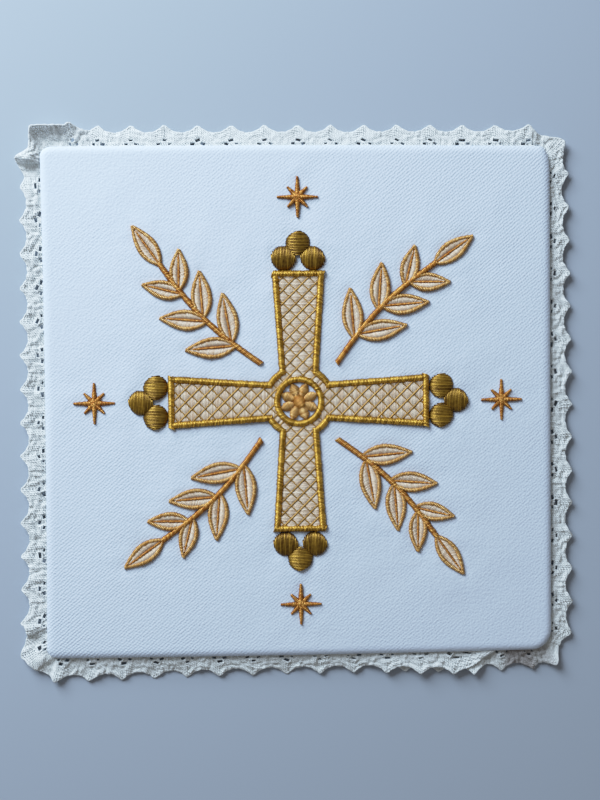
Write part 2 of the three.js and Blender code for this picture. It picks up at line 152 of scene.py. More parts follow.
circle = np.linspace(0, 2 * math.pi, 61)
ring_line = np.column_stack([np.cos(circle), np.sin(circle)])
sewn_lines = cross_lines() + [ring_line * RING_RADIUS]
for arm in range(4):
    quarter = arm * math.pi / 2
    for out, aside in BUD_SPOTS:
        sewn_lines.append(turned(ring_line * BUD_RADIUS + (ARM_LONG + out, aside), quarter))
    stem = np.array([stem_point(r) for r in np.linspace(STEM_FROM, STEM_TO, 16)])
    sewn_lines.append(turned(stem, quarter + math.pi / 4))
    sewn_lines += [on_leaf(leaf_side(f[2], f[3], hand), f, quarter) for f in LEAVES for hand in (-1, 1)]
    sewn_lines.append(turned([(STAR_AT - 5, 0), (STAR_AT + 5, 0)], quarter))

sewn_points = np.concatenate([spread(line, SEWING_STEP) for line in sewn_lines])
sewn_tree = kdtree.KDTree(len(sewn_points))
for i, (x, y) in enumerate(sewn_points):
    sewn_tree.insert((x, y, 0), i)
sewn_tree.balance()


def cloth_face(x, y):
    """The height of the face: nearly flat, drawn down along the sewing and rippled a little beside it"""
    near = sewn_tree.find((x, y, 0))[2]
    sway = 0.10 * noise.noise(Vector((x / 38, y / 38, 2.7)))
    dip = -SEWING_DIP * math.exp(-(near / 1.3) ** 2)
    ripple = 0.18 * math.exp(-near / 5.5) * noise.noise(Vector((x / 4.2, y / 4.2, 8.1)))
    wide_ripple = 0.34 * math.exp(-near / 12) * noise.noise(Vector((x / 10, y / 10, 4.4)))
    rim = max(abs(x), abs(y))
    crown = FACE_CROWN * (1 - (rim / HALF) ** 4)
    fade = min(1.0, (HALF - rim) / FLAT_RIM)
    return FACE - FACE_CROWN + crown + fade * (sway + dip + ripple + wide_ripple)


def on_panel(s, t, inset):
    """Points of a square from -1 to 1, laid over the panel's outline drawn in by inset"""
    x, y = s * (HALF - inset), t * (HALF - inset)
    for (cx, cy), (rx, ry) in CORNER_RADII.items():
        a = (cx * x - (HALF - rx)) / (rx - inset) if rx > inset else np.full_like(x, -1)
        b = (cy * y - (HALF - ry)) / (ry - inset) if ry > inset else np.full_like(y, -1)
        corner = (a > 0) & (b > 0)
        round_x = np.sqrt(1 - np.clip(b, 0, 1) ** 2 / 2)
        round_y = np.sqrt(1 - np.clip(a, 0, 1) ** 2 / 2)
        x = np.where(corner, cx * (HALF - rx + (rx - inset) * a * round_x), x)
        y = np.where(corner, cy * (HALF - ry + (ry - inset) * b * round_y), y)
    across, up = 1 - (x / HALF) ** 2, 1 - (y / HALF) ** 2
    bowed_x = x + up * (SIDE_BOWS["right"] * (1 + s) - SIDE_BOWS["left"] * (1 - s)) / 2
    bowed_y = y + across * (SIDE_BOWS["top"] * (1 + t) - SIDE_BOWS["bottom"] * (1 - t)) / 2
    return bowed_x, bowed_y


def placed(points):
    """Millimetres from the middle of the panel, as metres in the frame"""
    return (np.asarray(points, float) + PANEL_MIDDLE) * MM


def shown(name, mesh, material):
    """A new piece with its place in its mesh"""
    mesh.materials.clear()
    mesh.materials.append(material)
    piece = bpy.data.objects.new(name, mesh)
    bpy.context.scene.collection.objects.link(piece)
    return piece


def new_group(name, inputs, outputs):
    """An empty group of shader nodes. inputs are (name, kind, value) and outputs (name, kind)."""
    group = bpy.data.node_groups.new(name, "ShaderNodeTree")
    for label, kind, value in inputs:
        socket = group.interface.new_socket(label, in_out="INPUT", socket_type=kind)
        if value is not None:
            socket.default_value = value
    for label, kind in outputs:
        group.interface.new_socket(label, in_out="OUTPUT", socket_type=kind)
    return group, group.nodes.new("NodeGroupInput"), group.nodes.new("NodeGroupOutput")


def worked(tree, operation, *values):
    """A Math node with its inputs linked or set"""
    node = tree.nodes.new("ShaderNodeMath")
    node.operation = operation
    for socket, value in zip(node.inputs, values):
        if isinstance(value, bpy.types.NodeSocket):
            tree.links.new(value, socket)
        else:
            socket.default_value = value
    return node.outputs["Value"]


def times(tree, a, b):
    return worked(tree, "MULTIPLY", a, b)


def plus(tree, a, b):
    return worked(tree, "ADD", a, b)


def soft_noise(tree, vector, scale, detail=2.0):
    node = tree.nodes.new("ShaderNodeTexNoise")
    node.inputs["Scale"].default_value = scale
    node.inputs["Detail"].default_value = detail
    tree.links.new(vector, node.inputs["Vector"])
    return node.outputs["Fac"]


def twill_group():
    """Slanting twill lines with the finer threads across them"""
    group, given, out = new_group(
        "twill_lines",
        [
            ("Vector", "NodeSocketVector", None),
            ("Pitch", "NodeSocketFloat", TWILL_PITCH),
            ("Turn", "NodeSocketFloat", TWILL_TURN),
        ],
        [("Height", "NodeSocketFloat"), ("Tone", "NodeSocketFloat")],
    )
    place, pitch = given.outputs["Vector"], given.outputs["Pitch"]
    split = group.nodes.new("ShaderNodeSeparateXYZ")
    group.links.new(place, split.inputs[0])
    right, up = split.outputs["X"], split.outputs["Y"]
    sine = worked(group, "SINE", given.outputs["Turn"])
    cosine = worked(group, "COSINE", given.outputs["Turn"])
    across = worked(group, "SUBTRACT", times(group, up, cosine), times(group, right, sine))
    along = plus(group, times(group, right, cosine), times(group, up, sine))

    # The slanting lines sway a little, and each has its cross threads half a step on from the last one's.
    sway = times(group, soft_noise(group, place, 620.0), 0.8)
    lines = plus(group, worked(group, "DIVIDE", across, pitch), sway)
    line = worked(group, "SINE", times(group, lines, 2 * math.pi))
    steps_along = times(group, worked(group, "DIVIDE", along, pitch), 1.05)
    stagger = times(group, worked(group, "FLOOR", lines), 0.5)
    cross_thread = worked(group, "SINE", times(group, plus(group, steps_along, stagger), 2 * math.pi))
    crossed = plus(group, times(group, line, 0.85), times(group, cross_thread, 0.8))

    # They stand up most near the top right and bottom left corners, and hardly at all near the other two.
    corners = times(group, times(group, right, up), 70.0)
    patchy = times(group, soft_noise(group, place, 35.0), 0.8)
    at_least = worked(group, "MAXIMUM", plus(group, corners, patchy), 0.12)
    fullness = worked(group, "MINIMUM", at_least, 1.0)
    woven = times(group, crossed, fullness)

    slub = soft_noise(group, place, 1250.0)
    group.links.new(plus(group, woven, times(group, slub, 3.4)), out.inputs["Height"])
    group.links.new(plus(group, times(group, woven, 0.7), slub), out.inputs["Tone"])
    return group


def surface(name, roughness, sheen=0.0):
    """A material with its Principled shader and Object coordinates"""
    material = bpy.data.materials.new(name)
    material.use_nodes = True
    tree = material.node_tree
    shader = tree.nodes["Principled BSDF"]
    shader.inputs["Roughness"].default_value = roughness
    shader.inputs["Sheen Weight"].default_value = sheen
    place = tree.nodes.new("ShaderNodeTexCoord").outputs["Object"]
    return material, tree, shader, place


def blended(tree, share, low, high):
    """A mix of two colours, each given or linked, by a share that changes over the surface"""
    mix = tree.nodes.new("ShaderNodeMix")
    mix.data_type = "RGBA"
    for label, colour in (("A", low), ("B", high)):
        if isinstance(colour, bpy.types.NodeSocket):
            tree.links.new(colour, mix.inputs[label])
        else:
            mix.inputs[label].default_value = (*colour, 1)
    tree.links.new(share, mix.inputs["Factor"])
    return mix.outputs["Result"]


def bumped(tree, shader, height, distance):
    bump = tree.nodes.new("ShaderNodeBump")
    bump.inputs["Distance"].default_value = distance
    bump.inputs["Strength"].default_value = 0.6
    tree.links.new(height, bump.inputs["Height"])
    tree.links.new(bump.outputs["Normal"], shader.inputs["Normal"])


def twill_cotton():
    material, tree, shader, place = surface("twill_cotton", 0.8, sheen=0.15)
    twill = tree.nodes.new("ShaderNodeGroup")
    twill.node_tree = twill_group()
    twill.inputs["Pitch"].default_value = TWILL_PITCH
    twill.inputs["Turn"].default_value = TWILL_TURN
    tree.links.new(place, twill.inputs["Vector"])
    cloudy = soft_noise(tree, place, 45.0, 3.0)
    tone = plus(tree, times(tree, twill.outputs["Tone"], 0.75), times(tree, cloudy, 0.25))
    colour = blended(tree, tone, (0.70, 0.80, 0.92), (0.80, 0.87, 0.97))
    tree.links.new(colour, shader.inputs["Base Color"])
    bumped(tree, shader, twill.outputs["Height"], TWILL_DEEP)
    return material


# The cover starts as a flat grid. Each ring that is extruded from its rim is a level of the wrapped edge,
# and every level is then laid on the panel's outline.
cover = bmesh.new()
bmesh.ops.create_grid(cover, x_segments=FACE_STEPS, y_segments=FACE_STEPS, size=1)
rim = [e for e in cover.edges if e.is_boundary]
for _ in CLOTH_EDGE:
    grown = bmesh.ops.extrude_edge_only(cover, edges=rim)["geom"]
    rim = [e for e in grown if isinstance(e, bmesh.types.BMEdge)]
    for corner in {v for e in rim for v in e.verts}:
        corner.co.z += 1
bmesh.ops.contextual_create(cover, geom=rim)
square = np.array([v.co for v in cover.verts])
for level, (inset, up) in enumerate([(FACE_INSET, None), *CLOTH_EDGE]):
    here = np.flatnonzero(np.round(square[:, 2]) == level)
    xs, ys = on_panel(square[here, 0], square[here, 1], inset)
    cover.verts.ensure_lookup_table()
    for i, x, y in zip(here, xs, ys):
        z = cloth_face(x, y) if up is None else up
        cover.verts[i].co = placed((x, y, z))
bmesh.ops.recalc_face_normals(cover, faces=cover.faces)
for face in cover.faces:
    face.smooth = True

# Extruding makes its new edges and faces in an order that differs from run to run, so both are sorted.
cover.verts.index_update()
corner_count = len(cover.verts)
cover.edges.sort(key=lambda e: min(v.index for v in e.verts) * corner_count + max(v.index for v in e.verts))
in_order = sorted(cover.faces, key=lambda face: sorted(v.index for v in face.verts))
face_rank = {face: rank for rank, face in enumerate(in_order)}
cover.faces.sort(key=face_rank.get)
cover_mesh = bpy.data.meshes.new("cover_cloth")
cover.to_mesh(cover_mesh)
cover.free()
twill = twill_cotton()
cover_cloth = shown("cover_cloth", cover_mesh, twill)
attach(cover_cloth, "root")
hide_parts("pall_panel")

# The lace edging. One strip of white cotton bobbin lace about 12 mm wide, worked in cloth stitch with a few
# open holes at each point. Its foot is sewn into the seam all round, it is pleated at the corners, and its
# two ends are lapped near the bottom right corner.
SEAM_INSET = 0.7
REPEAT_LONG = 10.45
SCALLOP_POWER = 2.2
EASE = 0.08
WAVES = [(0.22, 3.7), (0.12, 1.6)]
WAVES_FROM, WAVES_TO = 3.5, 64.2

# Where the strip lies, at some of its repeats. side and along say where its foot is sewn, with the sides
# counted from the bottom one. edge_x and edge_y are its outer edge and seam_z and edge_z its heights. depth
# is how far the scallops are cut in, hump how far its middle bulges, and lip how late it turns up.
STATION_COLUMNS = [
    "repeat", "side", "along", "edge_x", "edge_y", "seam_z", "edge_z", "depth", "hump", "lip",
]
LACE_STATIONS = np.array([
    (0.7, 0, 30, 30, -86.9, 0.66, 0.66, 2.4, 0, 1),
    (2.2, 0, 46, 46.5, -87.5, 0.66, 0.66, 2.4, 0, 1),
    (2.8, 0, 52.5, 53.4, -87.9, 0.66, 1.5, 2.4, 0, 1),
    (3.2, 0, 56.8, 57.1, -87.9, 0.9, 2.6, 2.6, 0.3, 1),
    (3.45, 0, 59.4, 59.4, -87.8, 1.1, 0.45, 2.8, 0, 1),
    (4, 0, 64.4, 64.4, -87.3, 2.1, 0.35, 2.6, 0, 1),
    (5, 0, 72.5, 74.8, -86.8, 2.3, 0.35, 2.2, 0, 1),
    (5.5, 0, 75.5, 78.6, -85.9, 2.1, 0.6, 1.4, -0.2, 1),
    (6, 0, 77.4, 82.4, -85.3, 1.2, 3.0, 0.4, -0.5, 1.8),
    (6.4, 1, -77, 82.9, -80.2, 1.6, 1.2, 0.4, 0, 1),
    (7, 1, -73, 87.1, -75.6, 1.6, 1.5, 1.8, 0, 1),
    (8, 1, -64.5, 87.3, -65.0, 1.6, 1.7, 2.4, 0, 1),
    (14, 1, -1.7, 87.5, -1.7, 1.6, 1.5, 2.4, 0, 1),
    (21, 1, 70.5, 86.4, 71.4, 1.6, 1.8, 2.4, 0, 1),
    (22, 1, 76.5, 85.1, 82.3, 1.6, 2.3, 0.5, 0, 1),
    (22.6, 2, -76.7, 76.9, 84.2, 1.6, 1.2, 0.5, -0.3, 1),
    (22.8, 2, -75.0, 75.4, 85.7, 1.6, 2.4, 1.2, 0.5, 1),
    (23, 2, -73.4, 73.8, 87.0, 1.6, 2.2, 2.0, 0, 1),
    (24, 2, -63, 63.2, 87.1, 1.8, 0.7, 2.3, 0, 1),
    (30, 2, -0.4, 0.4, 87.2, 1.95, 0.4, 2.5, 0, 1),
    (36, 2, 62.4, -62.4, 87.0, 1.8, 0.8, 2.5, 0, 1),
    (37, 2, 69.5, -70.8, 87.4, 1.6, 4.0, 1.4, -0.3, 1.6),
    (37.33, 2, 71.5, -73.8, 86.2, 1.6, 4.8, 0, -0.4, 2.2),
    (38.17, 2, 76.8, -82.6, 86.1, 1.6, 5.2, 0, -0.5, 2.6),
    (38.83, 3, -77.2, -83.1, 79.2, 1.6, 3.6, 0, 1.0, 1.4),
    (39.3, 3, -75.8, -87.9, 76.6, 1.6, 3.8, 0, 2.2, 1),
    (39.52, 3, -73.4, -86.6, 74.0, 1.6, 1.2, 0, -0.8, 1),
    (39.67, 3, -71.8, -85.1, 71.9, 1.6, 1.4, 0, -0.5, 1),
    (40, 3, -68, -86.5, 67.8, 1.5, 2.1, 2.2, 0.2, 1),
    (47, 3, 6, -87.5, -6.0, 1.3, 2.2, 2.8, 0, 1),
    (53, 3, 68.5, -88.1, -69.0, 1.6, 1.7, 2.8, 0.2, 1),
    (53.25, 3, 70.3, -88.3, -71.7, 1.6, 2.6, 2.4, 0.6, 1),
    (53.5, 3, 72.2, -88.5, -74.4, 1.6, 0.9, 2.1, -0.6, 1),
    (54, 3, 75.8, -88.8, -79.9, 1.6, 1.4, 1.4, 0, 1),
    (54.33, 3, 77.3, -84.9, -83.2, 1.6, 2.7, 0, 1.0, 1),
    (54.67, 4, -77.0, -80.8, -85.0, 1.6, 1.0, 0, -0.4, 1),
    (55, 4, -75, -78.2, -88.3, 1.6, 2.1, 2.4, 0.5, 1),
    (55.3, 4, -72.1, -75.1, -88.2, 1.7, 1.0, 2.4, -0.2, 1),
    (56, 4, -65.5, -67.3, -88.1, 2.0, 0.5, 2.4, 0, 1),
    (60, 4, -26.0, -26.0, -87.4, 2.1, 0.35, 2.6, 0, 1),
    (64.4, 4, 21, 21, -86.9, 2.1, 0.8, 2.5, 0, 1),
    (65, 4, 27.4, 27.4, -87.1, 1.95, 2.2, 2.5, 0, 1),
    (67, 4, 48.9, 48.9, -87.8, 2.05, 2.3, 2.4, 0, 1),
    (67.2, 4, 55.5, 50.9, -87.3, 2.05, 2.4, 2.0, 0.2, 1),
    (67.45, 4, 64.5, 52.6, -86.2, 2.0, 2.5, 1.6, 0.4, 1),
])
LACE_LINES = np.array([  # how far out from its foot each lengthwise thread runs
    0.0, 0.48, 0.96, 1.42, 1.94, 2.38, 2.72, 3.2, 3.65, 4.15, 4.65, 5.15, 5.65, 6.2, 6.75, 7.3, 7.85,
])
PASSES_PER_REPEAT = 20
LACE_HOLES = [  # passes from the point, millimetres from the foot, and how far the threads part each way
    (-3, 1.68, 0.55, 0.4), (3, 1.68, 0.55, 0.4), (0, 2.96, 0.62, 0.42),
]
HOLE_REACH = (1.1, 1.0)
HOLE_TILT = 0.75
HOLE_VARIES = 0.3
PLAIN_CORNERS = [(5.3, 6.7), (21.6, 22.9), (37.2, 39.7), (54.2, 54.9)]
FAN = 0.35
WEAVE_RISE = 0.13
LACE_THREAD = 0.24
OFF_TABLE = 0.02
SMOOTH_AT, SMOOTH_OVER = 30, 6  # the lace lies smoother round the middle of the top side

SIDE_STEPS = 160
seam_s, seam_t = [], []
steps = np.linspace(-1, 1, SIDE_STEPS + 1)[:-1]
for s_of, t_of in ((steps, -1), (1, steps), (-steps, 1), (-1, -steps)):
    seam_s.append(s_of * np.ones(SIDE_STEPS))
    seam_t.append(t_of * np.ones(SIDE_STEPS))
seam_x, seam_y = on_panel(np.concatenate(seam_s), np.concatenate(seam_t), SEAM_INSET)
seam_x, seam_y = np.append(seam_x, seam_x[0]), np.append(seam_y, seam_y[0])
seam_run = np.concatenate([[0], np.cumsum(np.hypot(np.diff(seam_x), np.diff(seam_y)))])
side_middles = [seam_run[SIDE_STEPS // 2 + SIDE_STEPS * k] for k in range(4)]
station_runs = np.array([
    side_middles[int(row[1]) % 4] + row[2] + (seam_run[-1] if row[1] == 4 else 0)
    for row in LACE_STATIONS
])


def station(repeat, column):
    """A column of the table at any repeat, eased over its corners"""
    values = station_runs if column == "run" else LACE_STATIONS[:, STATION_COLUMNS.index(column)]
    near = [np.interp(repeat + shift, LACE_STATIONS[:, 0], values) for shift in (-EASE, 0, EASE)]
    return sum(near) / 3


def on_lace(repeat, from_foot, rise):
    """Points of the strip, by repeats along it, millimetres out from its foot, and rise off it"""
    run = station(repeat, "run") % seam_run[-1]
    foot_x, foot_y = np.interp(run, seam_run, seam_x), np.interp(run, seam_run, seam_y)
    out_x, out_y = station(repeat, "edge_x") - foot_x, station(repeat, "edge_y") - foot_y
    reach = np.hypot(out_x, out_y)
    share = from_foot / LACE_LINES[-1]
    bay = 1 - np.abs(2 * (repeat % 1) - 1) ** SCALLOP_POWER
    full = np.clip(share, 0, 1) ** 0.7
    beat = np.sin(2 * math.pi * (repeat * 4.3 + 0.2 * np.sin(repeat * 5)))
    knobs = 0.010 * beat * np.clip(share, 0, 1) ** 5
    out = share * (1 - full * station(repeat, "depth") / reach * bay - 0.03 + knobs)
    wave = sum(high * np.sin(2 * math.pi * repeat / long) for high, long in WAVES)
    wave = np.where((repeat > WAVES_FROM) & (repeat < WAVES_TO), wave, 0)
    flat_share = np.clip(out, 0, 1)
    seam_z, edge_z = station(repeat, "seam_z"), station(repeat, "edge_z")
    hump = station(repeat, "hump") * 4 * flat_share * (1 - flat_share)
    z = seam_z + (edge_z - seam_z) * flat_share ** station(repeat, "lip") + wave * share + hump + rise
    z = np.maximum(z, LACE_THREAD + OFF_TABLE)
    return np.column_stack([foot_x + out_x * out, foot_y + out_y * out, z])


first_pass = math.ceil(LACE_STATIONS[0, 0] * PASSES_PER_REPEAT)
last_pass = math.floor(LACE_STATIONS[-1, 0] * PASSES_PER_REPEAT)
pass_count, line_count = last_pass - first_pass, len(LACE_LINES)
lace_rng = np.random.default_rng(7)
cross_at = (np.arange(first_pass, last_pass) + 0.5)[:, None] * np.ones(line_count)
line_at = LACE_LINES[None, :] * np.ones((pass_count, 1))
pass_shift = np.zeros_like(cross_at)
line_shift = np.zeros_like(line_at)
for point in range(math.ceil(LACE_STATIONS[0, 0]), math.floor(LACE_STATIONS[-1, 0]) + 1):
    if any(low < point < high for low, high in PLAIN_CORNERS):
        continue
    for passes_off, out, widen_along, widen_out in LACE_HOLES:
        size = 1 + HOLE_VARIES * lace_rng.uniform(-1, 1)
        du = (cross_at - point * PASSES_PER_REPEAT - passes_off) * REPEAT_LONG / PASSES_PER_REPEAT
        dv = line_at - out
        close = size * np.exp(-((du / HOLE_REACH[0]) ** 2) - (dv / HOLE_REACH[1]) ** 2)
        tilt = HOLE_TILT * lace_rng.uniform(-1, 1)
        along = widen_along * np.sign(du) * close
        outward = widen_out * np.sign(dv) * close
        pass_shift += along * math.cos(tilt) - outward * math.sin(tilt)
        line_shift += along * math.sin(tilt) + outward * math.cos(tilt)


def lace_noise(per_pass, per_mm, layer):
    """A smooth random value for each crossing of the strip's threads"""
    return np.array([
        [noise.noise(Vector((m * per_pass, v * per_mm, layer))) for v in LACE_LINES]
        for m in cross_at[:, 0]
    ])


pass_shift += 0.34 * lace_noise(0.42, 0.2, 3.3) + 0.04 * lace_rng.uniform(-1, 1, cross_at.shape)
line_shift += 0.05 * lace_rng.uniform(-1, 1, cross_at.shape)
repeats = cross_at / PASSES_PER_REPEAT + pass_shift / REPEAT_LONG
fan = FAN * (line_at / LACE_LINES[-1]) * np.sin(2 * math.pi * repeats) / (2 * math.pi)
repeats = repeats + fan
outs = line_at + line_shift
crossing = np.arange(pass_count)[:, None] + np.arange(line_count)[None, :]
parity = np.where(crossing % 2 == 0, 1.0, -1.0)
calm = 1 - 0.45 * np.exp(-((repeats - SMOOTH_AT) / SMOOTH_OVER) ** 4)
lumps = calm * (0.45 * lace_noise(0.5, 0.34, 9.1) + 0.5 * lace_noise(0.25, 0.6, 5.2))


def at_crossings(rise):
    return on_lace(repeats.ravel(), outs.ravel(), rise.ravel()).reshape(pass_count, line_count, 3)


over = at_crossings(lumps + WEAVE_RISE * parity)
under = at_crossings(lumps - WEAVE_RISE * parity)
strand_rng = np.random.default_rng(3)


def sewn(name, strands, radius, material, sides_each=6, painted_shade=None):
    """One mesh of many strands of thread, each a line of points in millimetres from the panel's middle.
    The strands differ a little in thickness, and each keeps a tone of its own. painted_shade says, point by
    point of each strand, how much painted shade its colour takes where the thread lies in shadow."""
    curve = bpy.data.curves.new(name, "CURVE")
    curve.dimensions = "3D"
    curve.bevel_depth = radius * MM
    curve.bevel_resolution = (sides_each - 4) // 2
    curve.use_fill_caps = True
    for strand in strands:
        points = placed(strand)
        spline = curve.splines.new("POLY")
        spline.points.add(len(points) - 1)
        spline.points.foreach_set("co", np.column_stack([points, np.ones(len(points))]).ravel())
        spline.points.foreach_set("radius", np.full(len(points), strand_rng.uniform(0.9, 1.08)))
        spline.use_smooth = True
    drawn = bpy.data.objects.new(name, curve)
    mesh = bpy.data.meshes.new_from_object(drawn)
    mesh.name = name
    bpy.data.objects.remove(drawn)
    bpy.data.curves.remove(curve)

    # The caps' points come first in the mesh, and then each strand's, one ring of sides after another.
    ring_points = [len(strand) * sides_each for strand in strands]
    tones = np.repeat(strand_rng.uniform(0, 1, len(strands)), ring_points)
    caps = np.full(len(mesh.vertices) - len(tones), 0.5)
    strand_tone = mesh.attributes.new("strand_tone", "FLOAT", "POINT")
    strand_tone.data.foreach_set("value", np.concatenate([caps, tones]))
    if painted_shade is not None:
        shade_paint = np.concatenate([0 * caps, np.repeat(np.concatenate(painted_shade), sides_each)])
        painted_shade_layer = mesh.attributes.new("painted_shade", "FLOAT", "POINT")
        painted_shade_layer.data.foreach_set("value", shade_paint)
    welded = bmesh.new()
    welded.from_mesh(mesh)
    bmesh.ops.remove_doubles(welded, verts=welded.verts, dist=1e-7)
    welded.to_mesh(mesh)
    welded.free()
    return shown(name, mesh, material)


def thread_group():
    """Fibres along a thread: a fine mottled height, and a tone that changes from stitch to stitch"""
    group, given, out = new_group(
        "thread_fibres",
        [("Vector", "NodeSocketVector", None), ("Fineness", "NodeSocketFloat", 2500.0)],
        [("Height", "NodeSocketFloat"), ("Tone", "NodeSocketFloat")],
    )
    fine = group.nodes.new("ShaderNodeTexNoise")
    fine.inputs["Detail"].default_value = 1.0
    group.links.new(given.outputs["Vector"], fine.inputs["Vector"])
    group.links.new(given.outputs["Fineness"], fine.inputs["Scale"])
    coarse = group.nodes.new("ShaderNodeTexNoise")
    coarse.inputs["Detail"].default_value = 2.0
    group.links.new(given.outputs["Vector"], coarse.inputs["Vector"])
    group.links.new(times(group, given.outputs["Fineness"], 0.45), coarse.inputs["Scale"])
    centred = worked(group, "SUBTRACT", coarse.outputs["Fac"], 0.5)
    spread_tone = plus(group, times(group, centred, 2.4), 0.5)
    clamped = worked(group, "MINIMUM", worked(group, "MAXIMUM", spread_tone, 0.0), 1.0)
    group.links.new(fine.outputs["Fac"], out.inputs["Height"])
    group.links.new(clamped, out.inputs["Tone"])
    return group


FIBRE_DEEP = 0.00006
fibres = thread_group()


def thread(name, dark, light, roughness, sheen=0.0, gloss=0.0, sunk_shade=None, shade_paint=None):
    """A thread's material, between a darker and a lighter tone of its colour. gloss is the share of light
    that it throws back in its own colour, as silky thread does. sunk_shade is its colour where it goes down
    into the cloth, painted shade of the stitches' depths, and shade_paint its colour where it lies in
    shadow, painted shade too."""
    material, tree, shader, place = surface(name, roughness, sheen)
    shader.inputs["Metallic"].default_value = gloss
    group = tree.nodes.new("ShaderNodeGroup")
    group.node_tree = fibres
    tree.links.new(place, group.inputs["Vector"])
    own = tree.nodes.new("ShaderNodeAttribute")
    own.attribute_name = "strand_tone"
    tone = plus(tree, times(tree, group.outputs["Tone"], 0.35), times(tree, own.outputs["Fac"], 0.65))
    colour = blended(tree, tone, dark, light)
    # Painted shade: the colour darkens towards the sunk tone where the thread dips low towards the cloth,
    # standing in for the shade between the stitches.
    if sunk_shade:
        split = tree.nodes.new("ShaderNodeSeparateXYZ")
        tree.links.new(place, split.inputs[0])
        rise = tree.nodes.new("ShaderNodeMapRange")
        rise.inputs["From Min"].default_value = (FACE + 0.1) * MM
        rise.inputs["From Max"].default_value = (FACE + 0.85) * MM
        tree.links.new(split.outputs["Z"], rise.inputs["Value"])
        colour = blended(tree, rise.outputs["Result"], sunk_shade, colour)
    # Painted shade: the colour turns to a grey brown where the lace lies in shadow.
    if shade_paint:
        painted_shade_share = tree.nodes.new("ShaderNodeAttribute")
        painted_shade_share.attribute_name = "painted_shade"
        colour = blended(tree, painted_shade_share.outputs["Fac"], colour, shade_paint)
    tree.links.new(colour, shader.inputs["Base Color"])
    bumped(tree, shader, group.outputs["Height"], FIBRE_DEEP)
    return material


# The stretch of lace near the bottom right corner is painted darker, standing in for the shade it lies in.
PAINTED_SHADE_AT = [  # repeats along the strip, and how much painted shade it has there
    (3.9, 0.0), (4.25, 1.0), (5.0, 1.0), (5.25, 0.55), (5.9, 0.5), (6.2, 0.0),
]
lace_cotton = thread(
    "lace_cotton", (0.78, 0.81, 0.78), (0.92, 0.94, 0.90), 0.9, sheen=0.2, shade_paint=(0.42, 0.385, 0.355),
)
shade_at = np.interp(repeats, [at for at, _ in PAINTED_SHADE_AT], [share for _, share in PAINTED_SHADE_AT])
lengthwise = [over[:, k] for k in range(line_count)]
edge_cord = on_lace(repeats[:, -1], outs[:, -1] + 0.3, lumps[:, -1])
lace_threads = sewn(
    "lace_lengthwise", [*lengthwise, edge_cord], LACE_THREAD, lace_cotton, sides_each=4,
    painted_shade=[*shade_at.T, shade_at[:, -1]],
)

# One thread is worked to and fro across all the others, and turns round the outermost ones.
worker, worker_shade = [], []
for m in range(pass_count):
    row = under[m] if m % 2 == 0 else under[m][::-1]
    worker.extend(row)
    worker_shade.extend(shade_at[m] if m % 2 == 0 else shade_at[m][::-1])
    if m + 1 < pass_count:
        last = -1 if m % 2 == 0 else 0
        turn_out = LACE_LINES[-1] + 0.42 if m % 2 == 0 else -0.35
        turn_at = (repeats[m, last] + repeats[m + 1, last]) / 2
        worker.extend(on_lace(np.array([turn_at]), np.array([turn_out]), np.array([0.0])))
        worker_shade.append(worker_shade[-1])
lace_worker = sewn(
    "lace_crosswise", [np.array(worker)], LACE_THREAD, lace_cotton, sides_each=4,
    painted_shade=[np.array(worker_shade)],
)
for piece in (lace_threads, lace_worker):
    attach(piece, "root")
    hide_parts("lace_edging")

# The stitches that hold the lace. Small slip stitches of the same white cotton, sewn through the lace's
# foot and the seam, one after another all round.
SLIP_PITCH = 3.2
SLIP_LONG = 0.9
SLIP_THREAD = 0.12
slips = []
for run in np.arange(0, seam_run[-1], SLIP_PITCH):
    middle = np.array([np.interp(run, seam_run, seam_x), np.interp(run, seam_run, seam_y)])
    then = run + SLIP_LONG
    ahead = np.array([np.interp(then, seam_run, seam_x), np.interp(then, seam_run, seam_y)])
    inward = -middle / np.linalg.norm(middle)
    slips.append([
        (*(middle - inward * 0.25), 1.9),
        (*(middle + inward * 0.1), 2.3),
        (*(ahead + inward * 0.6), 2.75),
    ])
slip_stitches = sewn("slip_stitches", slips, SLIP_THREAD, lace_cotton, sides_each=4)
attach(slip_stitches, "root")

# The cross. Satin bars of glossy old gold thread, sewn side by side over a padding, round a ground of cream
# stitches that is held down by a lattice of gold threads.
SATIN_PITCH = 0.48
SATIN_THREAD = 0.26
SEWN_DOWN = 0.35
SIDE_HIGH, END_HIGH, RING_HIGH = 1.05, 1.15, 1.1
ARCH = [(-1.0, 0.0), (-0.92, 0.42), (-0.55, 0.84), (0.0, 1.0), (0.55, 0.84), (0.92, 0.42), (1.0, 0.0)]
LOW_ARCH = [(-1.0, 0.0), (-0.8, 0.75), (0.0, 1.0), (0.8, 0.75), (1.0, 0.0)]
jitter = np.random.default_rng(21)


def satin(run, wide, high, arch=ARCH, lean=0.4, width_at=None, pitch=SATIN_PITCH):
    """Strands laid across a line, each arched over it and leaning a little along it"""
    points = spread(run, pitch)
    ahead = np.gradient(points, axis=0)
    ahead /= np.linalg.norm(ahead, axis=1)[:, None]
    strands = []
    for i, (p, d) in enumerate(zip(points, ahead)):
        share = i / (len(points) - 1)
        half = wide / 2 * (width_at(share) if width_at else 1.0) * (1 + 0.09 * jitter.uniform(-1, 1))
        side = np.array([-d[1], d[0]])
        floor = FACE - SEWN_DOWN
        top = high * (0.55 + 0.45 * half / (wide / 2)) * (1 + 0.13 * jitter.uniform(-1, 1))
        strand = []
        for a, b in arch:
            x, y = p + side * half * a + d * lean * half * a
            strand.append((x, y, floor + (top + SEWN_DOWN) * b))
        strands.append(strand)
    return strands


